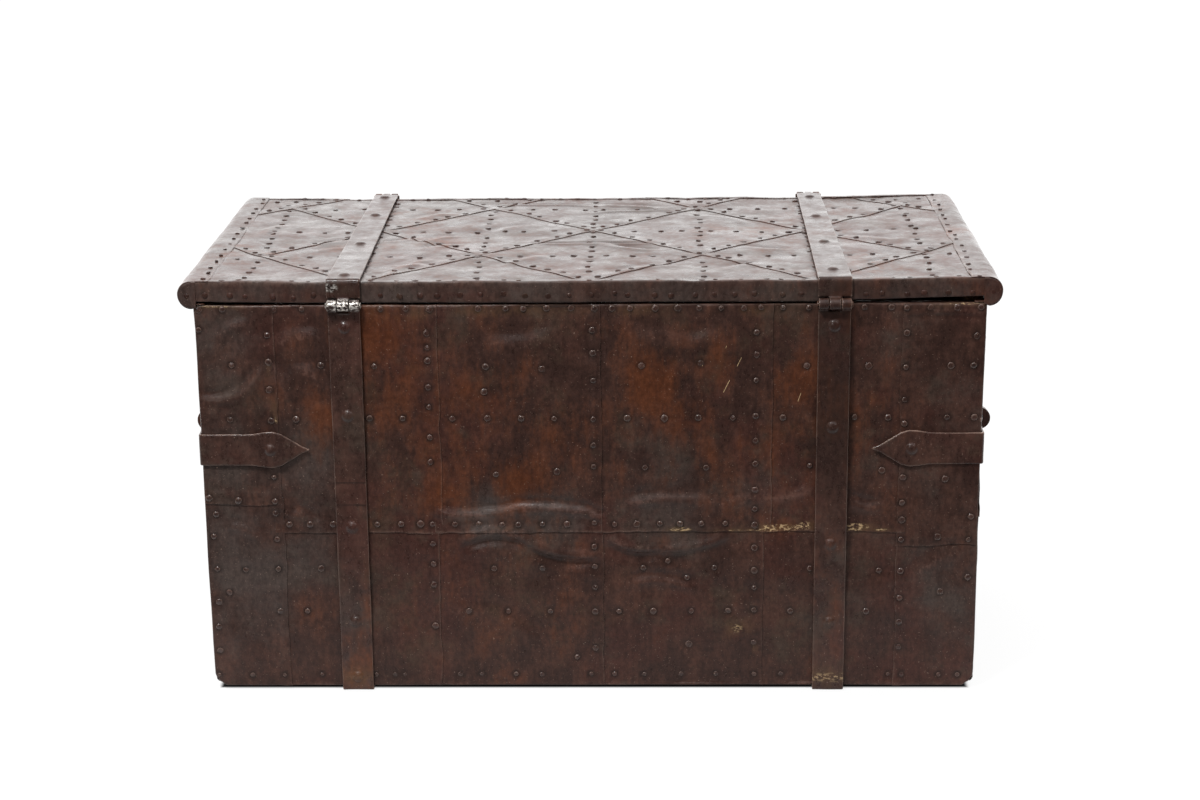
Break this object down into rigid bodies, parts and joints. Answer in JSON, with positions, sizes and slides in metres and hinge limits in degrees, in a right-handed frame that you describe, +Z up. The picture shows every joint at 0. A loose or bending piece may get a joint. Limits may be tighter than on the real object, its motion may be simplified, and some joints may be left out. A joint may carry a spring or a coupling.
{
  "type": "iron strongbox",
  "caption": "Long iron-clad oak strongbox with a flat lid of lozenge sheets, strap hinges, hasps over staples, and spear-ended bands with bail handles.",
  "frame": {"origin": "on the floor under the middle of the whole outline, hinge barrels and hasps included", "axes": "+X runs along the chest's length, +Y points to the hasp side (the front) and the hinges are on -Y, +Z is up"},
  "size_m": [1.2254, 0.6422, 0.6509],
  "materials": {
    "sheet_iron": "dark brown waxed sheet iron with rust-red patches",
    "lid_iron": "worn brown sheet iron with a soft sheen",
    "strap_iron": "forged dark brown iron, rubbed along its edges",
    "fitting_iron": "forged dark iron",
    "oak": "old dry oak boards"
  },
  "bodies": {
    "chest": {"back_board": "oak", "back_sheet_1_lower": "sheet_iron", "back_sheet_1_upper": "sheet_iron", "back_sheet_2_lower": "sheet_iron", "back_sheet_2_upper": "sheet_iron", "back_sheet_3_lower": "sheet_iron", "back_sheet_3_upper": "sheet_iron", "back_sheet_4_lower": "sheet_iron", "back_sheet_4_upper": "sheet_iron", "back_sheet_5_lower": "sheet_iron", "back_sheet_5_upper": "sheet_iron", "back_sheet_6_lower": "sheet_iron", "back_sheet_6_upper": "sheet_iron", "bottom_board": "oak", "front_board": "oak", "front_sheet_1_lower": "sheet_iron", "front_sheet_1_upper": "sheet_iron", "front_sheet_2_lower": "sheet_iron", "front_sheet_2_upper": "sheet_iron", "front_sheet_3_lower": "sheet_iron", "front_sheet_3_upper": "sheet_iron", "left_end_band": "strap_iron", "left_end_board": "oak", "left_end_sheet_lower": "sheet_iron", "left_end_sheet_upper": "sheet_iron", "left_front_eye": "fitting_iron", "left_front_strap": "strap_iron", "left_hinge_pin": "fitting_iron", "left_rear_eye": "fitting_iron", "left_rear_strap": "strap_iron", "left_staple": "fitting_iron", "right_end_band": "strap_iron", "right_end_board": "oak", "right_end_sheet_lower": "sheet_iron", "right_end_sheet_upper": "sheet_iron", "right_front_eye": "fitting_iron", "right_front_strap": "strap_iron", "right_hinge_pin": "fitting_iron", "right_rear_eye": "fitting_iron", "right_rear_strap": "strap_iron", "right_staple": "fitting_iron"},
    "lid": {"left_hasp_pin": "fitting_iron", "left_lid_cleat": "oak", "left_lid_end_sheet": "lid_iron", "left_lid_strap": "strap_iron", "lid_back_sheet": "lid_iron", "lid_front_sheet": "lid_iron", "lid_panel": "oak", "lid_top_sheet": "lid_iron", "right_hasp_pin": "fitting_iron", "right_lid_cleat": "oak", "right_lid_end_sheet": "lid_iron", "right_lid_strap": "strap_iron"},
    "left_hasp": {"left_hasp": "strap_iron"},
    "right_hasp": {"right_hasp": "strap_iron"},
    "left_handle": {"left_handle": "fitting_iron"},
    "right_handle": {"right_handle": "fitting_iron"}
  },
  "joints": [
    {"name": "lid_hinge", "type": "hinge", "parent": "chest", "child": "lid", "pos_m": [0, -0.31215, 0.6078], "axis": [1, 0, 0], "range_deg": [0, 105]},
    {"name": "left_hasp_hinge", "type": "hinge", "parent": "lid", "child": "left_hasp", "pos_m": [-0.358, 0.31365, 0.6398], "axis": [1, 0, 0], "range_deg": [-9, 185]},
    {"name": "right_hasp_hinge", "type": "hinge", "parent": "lid", "child": "right_hasp", "pos_m": [0.358, 0.31365, 0.6398], "axis": [1, 0, 0], "range_deg": [-9, 185]},
    {"name": "left_handle_swing", "type": "hinge", "parent": "chest", "child": "left_handle", "pos_m": [-0.5947, -0.01135, 0.3858], "axis": [0, 1, 0], "range_deg": [-3, 183]},
    {"name": "right_handle_swing", "type": "hinge", "parent": "chest", "child": "right_handle", "pos_m": [0.5947, -0.01135, 0.3858], "axis": [0, -1, 0], "range_deg": [-3, 183]}
  ]
}
